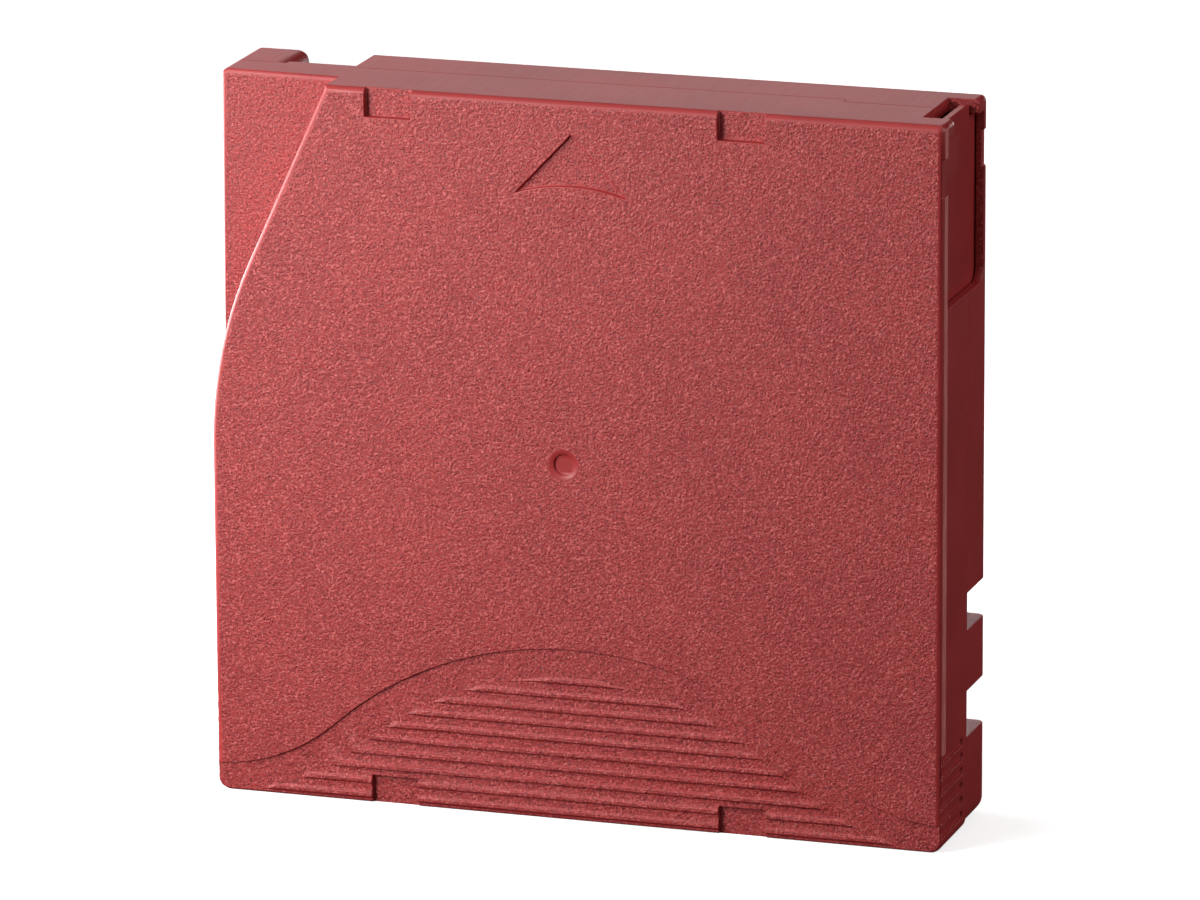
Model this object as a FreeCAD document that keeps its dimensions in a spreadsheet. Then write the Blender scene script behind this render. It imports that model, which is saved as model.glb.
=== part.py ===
import FreeCAD, Part

import math
import os
from types import SimpleNamespace

import Sketcher
from FreeCAD import Vector

# Half-inch single-reel data tape cartridge, standing upright on its rear (label) edge.
#
# Case coordinates, used inside every body: x runs from the left side to the right side, y is the
# depth below the main face (0) towards the hub face, z runs from the rear edge up to the front
# edge that enters the drive.  The bodies' placements centre the case on the frame's origin.

SIZES = {
    # case: outside size and walls
    "case_width": 105.4,
    "case_length": 102.0,
    "upper_depth": 12.3,        # depth of the parting line below the main face
    "wall": 2.0,                # side walls
    "top_plate": 2.0,           # plate of the upper shell
    "bottom_plate": 1.7,        # plate of the lower shell
    "edge_radius": 1.0,         # rounding around both large faces
    "upper_rear_corner": 1.8,
    "lower_rear_corner": 2.6,
    "front_corner": 0.8,
    "right_wall": 4.4,          # thick right wall that holds the door's channel
    # insertion guide: stepped corner, front left
    "guide_width": 17.3,        # where the crease meets the front edge
    "guide_reach": 38.2,        # length over which the straight crease would reach the side
    "guide_blend": 13.8,        # tangent length of the curve that joins crease and side
    "guide_step": 6.0,
    "guide_plate": 2.0,
    "guide_notch_from": 7.4,
    "guide_notch_to": 17.2,
    "guide_notch_length": 12.0,
    "guide_post_radius": 1.8,
    "guide_lip": 1.0,           # upper shell's lip over the notch, below the parting line
    "guide_shelf": 1.2,         # how far the hollow's floor stands in from the side wall
    "guide_hollow_foot": 6.0,   # start of the guide's hollow, in front of the crease's foot
    # main face details
    "notch_width": 6.7,
    "notch_length": 4.0,
    "notch_depth": 1.0,
    "notch_left": 23.0,
    "notch_right": 25.2,        # from the right side
    "arrow_half": 8.1,
    "arrow_rise": 1.35,         # rise of the arrow's curved base
    "arrow_height": 8.6,
    "arrow_foot": 13.2,         # base of the arrow, from the front edge
    "arrow_depth": 0.5,
    "arrow_draft": 12.0,        # slope of its walls, degrees
    "relief": 0.3,              # depth of the dimple and of the hill-shaped grip field
    "dimple_radius": 2.25,
    "dimple_floor": 1.5,
    "hill_top": 24.65,
    "hill_radius": 52.0,
    "hill_turn": 35.1,          # half width where the hill turns into its flank
    "hill_flank": 27.0,
    "rib_top": 20.6,
    "rib_radius": 46.0,
    "rib_turn": 34.0,
    "rib_flank": 22.0,
    "rib_height": 0.9,
    "rib_pitch": 2.1,
    "rib_first": 0.9,
    "rib_draft": 25.0,
    "side_groove": 1.15,
    "side_groove_depth": 0.45,
    "side_groove_first": 2.75,
    "side_groove_near": 0.4,
    "side_groove_end": 1.6,     # from the parting line
    # lower shell's handling notches
    "grip_notch_depth": 3.5,
    "grip_ledge": 0.3,          # ledge left between the notches and the parting line
    "grip_low": 13.2,
    "grip_low_height": 6.6,
    "grip_high": 28.5,
    "grip_high_height": 5.3,
    "grip_wall": 1.5,
    # label recess and write-protect window in the rear wall
    "label_depth": 0.4,
    "label_from": 22.0,
    "label_right": 5.4,         # from the right side
    "label_edge": 2.2,          # from either large face
    "tab_window_from": 7.0,
    "tab_window_length": 11.0,
    "tab_window_half": 3.0,
    "tab_gap": 0.4,
    "tab_nub": 5.0,
    "tab_nub_set_back": 0.7,
    "tab_nub_groove": 0.6,
    "tab_nub_pitch": 1.3,
    "tab_nub_rail": 1.2,        # plain edge beside the nub's grooves
    "tab_plate_length": 8.2,
    "tab_plate_start": 1.6,     # how far the slider's plate runs past its nub
    "tab_plate": 1.4,
    "tab_overlap": 1.1,
    "tab_rib": 1.0,
    "tab_rib_end": 3.0,
    "slide_gap": 0.25,
    # door, its channel and its window
    "door_window": 25.7,        # sill of the side window, from the front edge
    "door_channel": 1.55,
    "door_wall": 1.2,           # outer wall over the channel
    "door_plate": 1.2,
    "door_groove": 0.8,         # depth of the channel into both plates
    "door_travel": 23.0,
    "door_tail": 8.3,
    "door_tail_inset": 2.5,
    "door_overlap": 1.5,        # how far the door's full width reaches below the sill
    "door_end_gap": 0.5,
    "door_top_gap": 0.2,
    "door_gap": 0.3,
    "door_slot_near": 2.9,      # slot in the front edge, from the upper plate
    "door_slot_far": 2.4,       # and from the lower plate
    "door_lug": 1.4,            # the door's nose in the front slot
    "sill_radius": 2.0,
    "rim_notch": 0.4,
    "rim_notch_from": 9.8,      # from the front edge
    "rim_notch_to": 4.7,
    "tongue_from": 17.4,        # from the right side
    "tongue_depth": 1.4,
    "spring_end": 22.0,
    "spring_bay": 2.7,
    # screws and their posts
    "post_radius": 3.0,
    "post_left": 6.5,
    "post_right": 6.4,
    "post_rear": 7.5,
    "post_front": 5.7,
    "post_front_right": 21.9,
    "post_guide_left": 6.0,
    "post_guide_front": 18.0,
    "screw_radius": 1.0,
    "screw_clearance": 0.15,
    "screw_head": 2.2,
    "screw_head_height": 1.3,
    "screw_grip": 2.8,          # thread in the upper shell
    "screw_point": 0.6,
    "screw_sink": 2.0,
    "screw_cross": 2.2,
    "screw_cross_width": 0.5,
    "screw_cross_depth": 0.8,
    # reel: place, flanges, tape and hub
    "reel_left": 1.3,           # how far the reel's axis lies left of the middle
    "reel_rear": 0.1,           # and to the rear of it
    "reel_gap_near": 1.4,       # between the plates and the flanges
    "reel_gap_far": 1.0,
    "reel_side_gap": 1.4,       # between the walls and the flanges
    "reel_end_gap": 0.9,
    "reel_lift": 0.3,
    "flange": 1.2,
    "tape_width": 12.65,
    "tape_side_gap": 0.175,
    "pack_inset": 1.15,         # full pack inside the flanges' rims
    "hub_radius": 22.0,
    "hub_wall": 2.0,
    "hub_floor": 2.4,
    "hub_stand": 0.6,           # how far the hub stands out of its flange
    "window_gap": 1.5,
    "chamber_gap": 1.3,
    "chamber_rib": 1.0,
    "chamber_rib_height": 1.5,
    "rim_rib": 1.5,
    "drive_teeth": 60,
    "drive_rim": 0.7,
    "drive_tooth_length": 3.5,
    "drive_tooth": 1.3,
    "drive_root": 1.5,
    "drive_tip": 0.4,
    "clutch_inner": 5.5,
    "clutch_gap": 1.0,
    "clutch_plate": 1.0,
    # brake, its key post, spring and release pad
    "brake_teeth": 36,
    "brake_ring_gap": 3.5,      # between the hub's wall and its brake teeth
    "brake_ring": 4.0,
    "brake_tooth": 0.8,
    "brake_root": 1.7,
    "brake_tip": 0.2,
    "brake_side_gap": 0.2,
    "brake_gap": 0.05,
    "brake_stand": 1.4,
    "brake_disc": 1.4,
    "brake_rim": 0.55,
    "brake_boss": 6.2,
    "brake_boss_length": 6.3,
    "brake_foot": 4.0,
    "brake_travel": 1.6,
    "key_length": 4.5,
    "key_width": 1.8,
    "key_end_gap": 4.3,         # between the key and the release pad
    "key_gap": 0.25,
    "coil_boss_gap": 1.05,      # between the boss and its spring's wire
    "coil_wire": 0.7,
    "coil_turns": 4.0,
    "coil_gap": 0.15,
    "coil_seat_gap": 1.35,
    "coil_seat_rib": 0.8,
    "pad_thickness": 1.2,
    "pad_radius": 6.0,
    "pad_arm": 4.4,
    "leg_inset": 0.1,           # legs inside the ring of drive teeth
    "leg": 1.8,
    "leg_gap": 0.3,
    "leg_short": 0.3,           # how far the legs end below the drive teeth's tips
    "arm_gap": 8.0,
    "arm_clear": 0.5,           # room beyond the brake teeth where the arms pass
    # leader pin, its clip, leaf spring and the tape's end
    "pin_right": 8.1,
    "pin_front": 10.5,
    "pin_radius": 1.4,
    "pin_head": 2.9,
    "pin_head_length": 1.8,
    "pin_seat_gap": 0.2,
    "clip_gap": 0.1,
    "clip_wall": 0.7,
    "clip_angle": 285.0,
    "leader": 0.12,
    "leader_gap": 0.3,
    "leaf": 0.3,
    "leaf_width": 2.2,
    "leaf_from": 8.7,           # start of the leaf spring, left of the pin
    "leaf_seat": 3.0,
    "leaf_side_gap": 0.2,
    "leaf_seat_inset": 0.3,
    "leaf_tip": 2.8,
    "leaf_tip_rise": 1.6,
    # cartridge memory
    "chip_right": 25.4,         # left end of the board, from the right side
    "chip_width": 10.0,
    "chip_board": 0.8,
    "chip_rise": 10.33,         # height of the sloping supports at the lower plate
    "chip_length": 5.9,         # along the depth
    "chip_plate_gap": 0.7,
    "chip_die": 3.6,
    "chip_die_length": 2.4,
    "chip_die_thickness": 0.7,  # in board thicknesses
    "chip_rib": 1.2,
    "chip_rib_inset": 1.0,
    "chip_rib_height": 12.0,
    # locating holes in the lower shell
    "datum_left": 14.0,
    "datum_rear": 14.0,
    "datum_slot_right": 12.9,
    "datum_slot": 1.0,
    "datum_radius": 2.0,
    "datum_depth": 4.2,
    "datum_wall": 1.4,
    # door spring
    "door_coil": 0.5,
    "door_wire": 0.25,
    "door_coil_turns": 15.0,
}


class Size:
    """A length that carries its value and the sheet expression it comes from."""

    def __init__(self, value, text=None):
        self.value = float(value)
        self.text = text or f"({value})"

    def _join(self, sign, other, value, flip=False):
        a, b = (other, self) if flip else (self, other)
        return Size(value, f"({a.text} {sign} {b.text})")

    def __add__(self, other):
        other = as_size(other)
        return self._join("+", other, self.value + other.value)

    def __radd__(self, other):
        return as_size(other) + self

    def __sub__(self, other):
        other = as_size(other)
        return self._join("-", other, self.value - other.value)

    def __rsub__(self, other):
        return as_size(other) - self

    def __mul__(self, other):
        other = as_size(other)
        return self._join("*", other, self.value * other.value)

    def __rmul__(self, other):
        return as_size(other) * self

    def __truediv__(self, other):
        other = as_size(other)
        return self._join("/", other, self.value / other.value)

    def __rtruediv__(self, other):
        return as_size(other) / self

    def __neg__(self):
        return Size(-self.value, f"(0 - {self.text})")


def as_size(value):
    return value if isinstance(value, Size) else Size(value)


def root(size):
    return Size(math.sqrt(size.value), f"sqrt({size.text})")


def smallest(*sizes):
    return Size(min(size.value for size in sizes), f"min({'; '.join(size.text for size in sizes)})")


doc = FreeCAD.newDocument("data_tape_cartridge")
sheet = doc.addObject("Spreadsheet::Sheet", "Sizes")
for row, (alias, number) in enumerate(SIZES.items(), start=1):
    sheet.set(f"A{row}", alias)
    sheet.set(f"B{row}", str(number))
    sheet.setAlias(f"B{row}", alias)
doc.recompute()
s = SimpleNamespace(**{alias: Size(number, f"Sizes.{alias}") for alias, number in SIZES.items()})

MARGIN = 3.0                    # how far cutting outlines run past the case
JOIN = 0.3                      # how far added material reaches into what it joins


# ---------------------------------------------------------------- document helpers

def new_body(label, x=0.0, z=0.0, turn=None):
    """A body whose own origin lies at (x, 0, z) in case coordinates, turned about the depth."""
    body = doc.addObject("PartDesign::Body", label)
    body.Label = label
    if turn is not None:
        body.Placement = FreeCAD.Placement(Vector(), FreeCAD.Rotation(Vector(0, 1, 0), turn.value))
        body.setExpression("Placement.Rotation.Angle", turn.text)
    body.setExpression("Placement.Base.x", (x - middle).text)
    body.setExpression("Placement.Base.y", (-depth / 2).text)
    body.setExpression("Placement.Base.z", as_size(z).text)
    return body


def origin_item(body, role):
    return next(item for item in body.Origin.OriginFeatures if item.Role == role)


def fix_point(sketch, geometry, point, x, y):
    for kind, size in (("DistanceX", x), ("DistanceY", y)):
        number = sketch.addConstraint(
            Sketcher.Constraint(kind, -1, 1, geometry, point, size.value))
        sketch.setExpression(f"Constraints[{number}]", size.text)


def draw_circle(sketch, x, y, radius):
    circle = Part.Circle(Vector(x.value, y.value, 0), Vector(0, 0, 1), radius.value)
    geometry = sketch.addGeometry(circle, False)
    fix_point(sketch, geometry, 3, x, y)
    number = sketch.addConstraint(Sketcher.Constraint("Radius", geometry, radius.value))
    sketch.setExpression(f"Constraints[{number}]", radius.text)


def draw_edge(sketch, start, end, centre):
    """Adds a line, or an arc about a centre; returns its number and its start and end points."""
    p, q = (Vector(v[0].value, v[1].value, 0) for v in (start, end))
    if centre is None:
        return sketch.addGeometry(Part.LineSegment(p, q), False), 1, 2
    c = Vector(centre[0].value, centre[1].value, 0)
    first = math.atan2(p.y - c.y, p.x - c.x)
    last = math.atan2(q.y - c.y, q.x - c.x)
    anticlockwise = (last - first) % (2 * math.pi) < math.pi
    if not anticlockwise:
        first, last = last, first
    circle = Part.Circle(c, Vector(0, 0, 1), (p - c).Length)
    geometry = sketch.addGeometry(Part.ArcOfCircle(circle, first, last), False)
    # with both ends fixed, one coordinate of the centre fixes the arc
    upright = abs(q.y - p.y) >= abs(q.x - p.x)
    kind, size = ("DistanceX", centre[0]) if upright else ("DistanceY", centre[1])
    number = sketch.addConstraint(Sketcher.Constraint(kind, -1, 1, geometry, 3, size.value))
    sketch.setExpression(f"Constraints[{number}]", size.text)
    return (geometry, 1, 2) if anticlockwise else (geometry, 2, 1)


def draw_loop(sketch, loop):
    """Draws a closed outline: (x, y) corners, with ("arc", x, y) centres between them."""
    corners, centres = [], {}
    for item in loop:
        if item[0] == "arc":
            centres[len(corners) - 1] = (as_size(item[1]), as_size(item[2]))
        else:
            corners.append((as_size(item[0]), as_size(item[1])))
    edges = [
        draw_edge(sketch, corner, corners[(n + 1) % len(corners)], centres.get(n))
        for n, corner in enumerate(corners)
    ]
    for n, (geometry, start, end) in enumerate(edges):
        after, after_start, _ = edges[(n + 1) % len(edges)]
        sketch.addConstraint(Sketcher.Constraint("Coincident", geometry, end, after, after_start))
        fix_point(sketch, geometry, start, *corners[n])


def new_sketch(body, plane, offset, loops):
    sketch = body.newObject("Sketcher::SketchObject", f"{body.Name}_outline")
    sketch.AttachmentSupport = [(origin_item(body, plane), "")]
    sketch.MapMode = "FlatFace"
    sketch.setExpression("AttachmentOffset.Base.z", as_size(offset).text)
    for loop in loops:
        if loop[0] == "circle":
            draw_circle(sketch, *(as_size(size) for size in loop[1:]))
        else:
            draw_loop(sketch, loop)
    return sketch


def extrude(body, kind, name, plane, offset, length, loops, draft=None):
    feature = body.newObject(kind, name)
    feature.Profile = new_sketch(body, plane, offset, loops)
    feature.setExpression("Length", as_size(length).text)
    if draft is not None:
        feature.setExpression("TaperAngle", (-draft).text)
    return feature


def pad(body, name, near, far, *loops, draft=None):
    """Adds material between two depths, narrower towards the near one if it has a draft."""
    return extrude(
        body, "PartDesign::Pad", name, "XZ_Plane", -as_size(far), far - near, loops, draft)


def pocket(body, name, near, far, *loops, draft=None):
    """Removes material between two depths, narrower towards the far one if it has a draft."""
    return extrude(
        body, "PartDesign::Pocket", name, "XZ_Plane", -as_size(near), far - near, loops, draft)


def pad_across(body, name, left, right, *loops):
    """Adds material between two x values; the outlines are (depth, z)."""
    return extrude(body, "PartDesign::Pad", name, "YZ_Plane", left, right - left, loops)


def revolve(body, name, loop, angle=360.0):
    """Turns a (radius, depth) outline about the body's depth axis."""
    sketch = new_sketch(body, "XY_Plane", 0.0, [loop])
    feature = body.newObject("PartDesign::Revolution", name)
    feature.Profile = sketch
    feature.ReferenceAxis = (sketch, ["V_Axis"])
    feature.setExpression("Angle", as_size(angle).text)
    return feature


def repeat_round(body, feature, count):
    pattern = body.newObject("PartDesign::PolarPattern", f"{feature.Name}_ring")
    pattern.Originals = [feature]
    pattern.Axis = (origin_item(body, "Y_Axis"), [""])
    pattern.Angle = 360
    pattern.setExpression("Occurrences", as_size(count).text)
    body.Tip = pattern
    return pattern


def coil(body, name, plane, mean_radius, start, wire, pitch, height):
    sketch = new_sketch(body, plane, 0.0, [("circle", mean_radius, start, wire / 2)])
    helix = body.newObject("PartDesign::AdditiveHelix", name)
    helix.Profile = sketch
    helix.ReferenceAxis = (sketch, ["V_Axis"])
    helix.Mode = 0
    helix.setExpression("Pitch", pitch.text)
    helix.setExpression("Height", height.text)
    return helix


def fillet(body, name, radius, wanted):
    """Rounds the edges of the body's last feature that the test accepts."""
    doc.recompute()
    base = body.Tip
    edges = [f"Edge{n}" for n, edge in enumerate(base.Shape.Edges, start=1) if wanted(edge.BoundBox)]
    feature = body.newObject("PartDesign::Fillet", name)
    feature.Base = (base, edges)
    feature.setExpression("Radius", radius.text)
    return feature


def at_depth(depth):
    """Accepts edges that lie in the plane of one depth."""
    def wanted(box):
        return abs(box.YMin - depth.value) < 1e-4 and abs(box.YMax - depth.value) < 1e-4
    return wanted


# ---------------------------------------------------------------- outline helpers

def box(left, low, right, high):
    return [(left, low), (right, low), (right, high), (left, high)]


def rounded_box(left, low, right, high, low_radius, high_radius):
    a, b = low_radius, high_radius
    return [
        (left + a, low), (right - a, low), ("arc", right - a, low + a), (right, low + a),
        (right, high - b), ("arc", right - b, high - b), (right - b, high),
        (left + b, high), ("arc", left + b, high - b), (left, high - b),
        (left, low + a), ("arc", left + a, low + a),
    ]


def cross(reach, half):
    return [
        (reach, -half), (reach, half), (half, half), (half, reach), (-half, reach), (-half, half),
        (-reach, half), (-reach, -half), (-half, -half), (-half, -reach), (half, -reach),
        (half, -half),
    ]


def shifted(loop, x, z):
    return [
        ("arc", item[1] + x, item[2] + z) if item[0] == "arc" else (item[0] + x, item[1] + z)
        for item in loop
    ]


width, length = s.case_width, s.case_length
middle = width / 2
part_line = s.upper_depth
inner_right = width - s.right_wall
inner_front = length - s.wall

# Depths, from the main face to the hub face: plate, flange, tape, flange, plate.
plate_near = s.top_plate
flange_near = plate_near + s.reel_gap_near
tape_near = flange_near + s.flange
tape_far = tape_near + s.tape_width + 2 * s.tape_side_gap
flange_far = tape_far + s.flange
plate_far = flange_far + s.reel_gap_far
depth = plate_far + s.bottom_plate

# The reel is as large as the nearest walls let it be.
reel_x = middle - s.reel_left
reel_z = length / 2 - s.reel_rear
flange_radius = smallest(reel_x - s.wall - s.reel_side_gap, reel_z - s.wall - s.reel_end_gap)
pack_radius = flange_radius - s.pack_inset
chamber_radius = flange_radius + s.chamber_gap
window_radius = s.hub_radius + s.window_gap

# The guide crease: a straight line from the front edge that an arc joins tangentially to the side.
crease_length = root(s.guide_width * s.guide_width + s.guide_reach * s.guide_reach)
lean = s.guide_width / crease_length            # sine and cosine of the crease's lean
rise = s.guide_reach / crease_length
crease_foot = length - s.guide_reach
blend_z = crease_foot - s.guide_blend
blend_radius = s.guide_blend * (crease_length + s.guide_reach) / s.guide_width
blend_start = (s.guide_blend * lean, crease_foot + s.guide_blend * rise)


def crease_x(z, inset=0.0):
    """x of the crease's straight part at a height, set inwards by a wall."""
    along = (z - blend_start[1] + as_size(inset) * lean) / rise
    return blend_start[0] + as_size(inset) * rise + along * lean


def crease_points(top, inset=0.0):
    """From the top of the crease down to its tangent end on the (inset) left side."""
    inset = as_size(inset)
    return [
        (crease_x(top, inset), top),
        (blend_start[0] + inset * rise, blend_start[1] - inset * lean),
        ("arc", blend_radius, blend_z),
        (inset, blend_z),
    ]


def hill(top, radius, turn, flank):
    """Centre heights and turning height of a hill made of a crown arc and two flank arcs."""
    crown_z = top - radius
    turn_rise = root(radius * radius - turn * turn)
    flank_x = turn * (radius + flank) / radius
    flank_z = crown_z + turn_rise * (radius + flank) / radius
    return crown_z, crown_z + turn_rise, flank_x, flank_z


def hill_half_width(z, top, radius, turn, flank):
    crown_z, turn_z, flank_x, flank_z = hill(top, radius, turn, flank)
    if z.value > turn_z.value:
        return root(radius * radius - (z - crown_z) * (z - crown_z))
    return flank_x - root(flank * flank - (flank_z - z) * (flank_z - z))


screw_posts = [
    (s.post_left, s.post_rear),
    (width - s.post_right, s.post_rear),
    (width - s.post_front_right, length - s.post_front),
]
corner_post = (s.post_guide_left, length - s.post_guide_front)

pin_x, pin_z = width - s.pin_right, length - s.pin_front
door_sill = length - s.door_window
door_outer = width - s.door_wall
door_inner = door_outer - s.door_channel
channel_end = door_sill - s.door_travel - s.door_tail - s.door_end_gap
channel_near = plate_near - s.door_groove
channel_far = plate_far + s.door_groove
slot_near = plate_near + s.door_slot_near
slot_far = plate_far - s.door_slot_far
rim_notch = box(width - s.rim_notch, length - s.rim_notch_from, width + MARGIN, length - s.rim_notch_to)
pin_slot_half = s.pin_head + s.pin_seat_gap
pin_slot = [
    (pin_x, pin_z - pin_slot_half), (door_inner, pin_z - pin_slot_half),
    (door_inner, pin_z + pin_slot_half), (pin_x, pin_z + pin_slot_half),
    ("arc", pin_x, pin_z), (pin_x - pin_slot_half, pin_z), ("arc", pin_x, pin_z),
]
hollow_top = length - s.guide_notch_length - s.wall
hollow_foot = crease_foot + s.guide_hollow_foot
guide_hollow = [
    (s.wall, hollow_top), (s.wall, hollow_foot), (s.wall + s.guide_shelf, hollow_foot),
    blend_start, (crease_x(hollow_top), hollow_top),
]
tab_window_near = part_line - s.tab_window_half
tab_window_far = part_line + s.tab_window_half
tab_window_to = s.tab_window_from + s.tab_window_length
tab_window = box(s.tab_window_from, as_size(-MARGIN), tab_window_to, s.wall + JOIN)
tab_rib_z = s.wall + s.tab_plate + 2 * s.slide_gap
tab_rib = box(s.wall, tab_rib_z, tab_window_to + s.tab_rib_end, tab_rib_z + s.tab_rib)
label = box(s.label_from, as_size(-MARGIN), width - s.label_right, s.label_depth)
chamber_rib = [
    ("circle", reel_x, reel_z, chamber_radius), ("circle", reel_x, reel_z, chamber_radius + s.chamber_rib),
]
coil_radius = s.brake_boss + s.coil_boss_gap + s.coil_wire / 2
coil_seat = coil_radius + s.coil_wire / 2 + s.coil_seat_gap

# The reel's depths: hub floor, brake teeth, brake disc, release pad.
hub_floor_far = flange_far + s.hub_stand
hub_floor_near = hub_floor_far - s.hub_floor
stand_near = hub_floor_near - s.brake_stand
pad_near = hub_floor_near - s.pad_thickness
ring_far = stand_near - s.brake_tooth - s.brake_gap
disc_near = ring_far - s.brake_disc - s.brake_rim
boss_near = disc_near - s.brake_boss_length
key_end = pad_near - s.key_end_gap

# ---------------------------------------------------------------- upper shell

upper = new_body("upper_shell")
pad(upper, "UpperBlock", as_size(0.0), part_line,
    rounded_box(as_size(0.0), as_size(0.0), width, length, s.upper_rear_corner,
                s.front_corner))
outside = [
    (crease_x(length + MARGIN), length + MARGIN), *crease_points(length + MARGIN)[1:],
    (-MARGIN, blend_z), (-MARGIN, length + MARGIN),
]
pocket(upper, "GuideStep", as_size(0.0), s.guide_step, outside)
fillet(upper, "FaceRounding", s.edge_radius, at_depth(as_size(0.0)))

pocket(upper, "Interior", plate_near, part_line, [
    (s.wall, s.wall), (inner_right, s.wall), (inner_right, inner_front),
    *crease_points(inner_front, s.wall),
])
pocket(upper, "GuideHollow", s.guide_step + s.guide_plate, part_line, guide_hollow)
pad(upper, "GuideLip", part_line, part_line + s.guide_lip,
    box(s.guide_notch_from, length - s.guide_notch_length, s.guide_notch_to, length))

# screw posts with blind holes, the round chamber's rib, the brake's key and spring seat
pad(upper, "ScrewPosts", plate_near, part_line,
    *[("circle", x, z, s.post_radius) for x, z in screw_posts])
pad(upper, "CornerPost", s.guide_step + s.guide_plate - JOIN, part_line,
    ("circle", *corner_post, s.post_radius))
pocket(upper, "ScrewHoles", part_line - s.screw_grip - s.screw_cross_width, part_line,
       *[("circle", x, z, s.screw_radius) for x, z in [*screw_posts, corner_post]])
pad(upper, "ChamberRib", plate_near - JOIN, plate_near + s.chamber_rib_height, *chamber_rib)
pad(upper, "SpringSeat", plate_near - JOIN, plate_near + s.coil_seat_rib,
    ("circle", reel_x, reel_z, coil_seat),
    ("circle", reel_x, reel_z, coil_seat + s.coil_seat_rib))
pad(upper, "BrakeKey", plate_near, key_end,
    shifted(cross(s.key_length, s.key_width / 2), reel_x, reel_z))

# door: channel in the thick right wall, side window, slot in the front edge, bay for the spring
pocket(upper, "DoorChannel", channel_near, part_line,
       box(door_inner, channel_end, door_outer, inner_front))
pocket(upper, "SpringBay", part_line - s.spring_bay, part_line,
       box(door_inner, s.spring_end, door_outer, channel_end + JOIN))
pocket(upper, "SideWindow", plate_near, part_line,
       box(inner_right, door_sill, width + MARGIN, inner_front))
pocket(upper, "FrontSlot", slot_near, part_line,
       box(inner_right, inner_front - JOIN, width + MARGIN, length + MARGIN))
pocket(upper, "RimNotch", as_size(-MARGIN), plate_near, rim_notch)
pocket(upper, "PinSeat", channel_near, plate_near, pin_slot)
pocket(upper, "TongueGap", part_line - s.tongue_depth, part_line,
       box(width - s.tongue_from, inner_front - JOIN, inner_right, length + MARGIN))

# rear wall: label recess, write-protect window and the rib that keeps its slider
pocket(upper, "LabelRecess", s.label_edge, part_line, label)
pocket(upper, "TabWindow", tab_window_near, part_line, tab_window)
pad(upper, "TabRib", plate_near, tab_window_near, tab_rib)

# main face: edge notches, arrow, dimple, hill-shaped grip field with its ribs
hill_sizes = (s.hill_top, s.hill_radius, s.hill_turn, s.hill_flank)
rib_sizes = (s.rib_top, s.rib_radius, s.rib_turn, s.rib_flank)
crown_z, turn_z, flank_x, flank_z = hill(*hill_sizes)
pocket(upper, "HillField", as_size(0.0), s.relief, [
    (middle - flank_x, flank_z - s.hill_flank), ("arc", middle - flank_x, flank_z),
    (middle - s.hill_turn, turn_z), ("arc", middle, crown_z),
    (middle + s.hill_turn, turn_z), ("arc", middle + flank_x, flank_z),
    (middle + flank_x, flank_z - s.hill_flank),
    (middle + flank_x, as_size(-MARGIN)), (middle - flank_x, as_size(-MARGIN)),
])
ribs = []
for number in range(10):
    low = s.rib_first + number * s.rib_pitch - s.rib_height / 2
    high = low + s.rib_height
    wide, narrow = (hill_half_width(z, *rib_sizes) for z in (low, high))
    ribs.append([
        (middle - wide, low), (middle + wide, low), (middle + narrow, high), (middle - narrow, high),
    ])
pad(upper, "GripRibs", as_size(0.0), s.relief, *ribs, draft=s.rib_draft)
arrow_arc = (s.arrow_half * s.arrow_half + s.arrow_rise * s.arrow_rise) / (2 * s.arrow_rise)
arrow_base = length - s.arrow_foot
pocket(upper, "Arrow", as_size(0.0), s.arrow_depth, [
    (middle - s.arrow_half, arrow_base), ("arc", middle, arrow_base + s.arrow_rise - arrow_arc),
    (middle + s.arrow_half, arrow_base), (middle, arrow_base + s.arrow_height),
], draft=s.arrow_draft)
pocket(upper, "Dimple", as_size(0.0), s.relief,
       ("circle", reel_x, reel_z, s.dimple_radius))
pocket(upper, "DimpleFloor", as_size(0.0), 2 * s.relief,
       ("circle", reel_x, reel_z, s.dimple_floor))
edge_notches = [
    box(left, low, left + s.notch_width, high)
    for left in (s.notch_left, width - s.notch_right - s.notch_width)
    for low, high in ((as_size(-MARGIN), s.notch_length), (length - s.notch_length, length + MARGIN))
]
pocket(upper, "EdgeNotches", as_size(0.0), s.notch_depth, *edge_notches)

side_grooves = []
for number in range(6):
    low = s.side_groove_first + number * s.rib_pitch - s.side_groove / 2
    high = low + s.side_groove
    side_grooves.append(box(as_size(-MARGIN), low, s.side_groove_depth, high))
    side_grooves.append(box(width - s.side_groove_depth, low, width + MARGIN, high))
pocket(upper, "SideGrooves", s.side_groove_near, part_line - s.side_groove_end, *side_grooves)

# ---------------------------------------------------------------- lower shell

lower = new_body("lower_shell")
pad(lower, "LowerBlock", part_line, depth,
    rounded_box(as_size(0.0), as_size(0.0), width, length, s.lower_rear_corner, s.front_corner))
fillet(lower, "FaceRounding", s.edge_radius, at_depth(depth))

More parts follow.
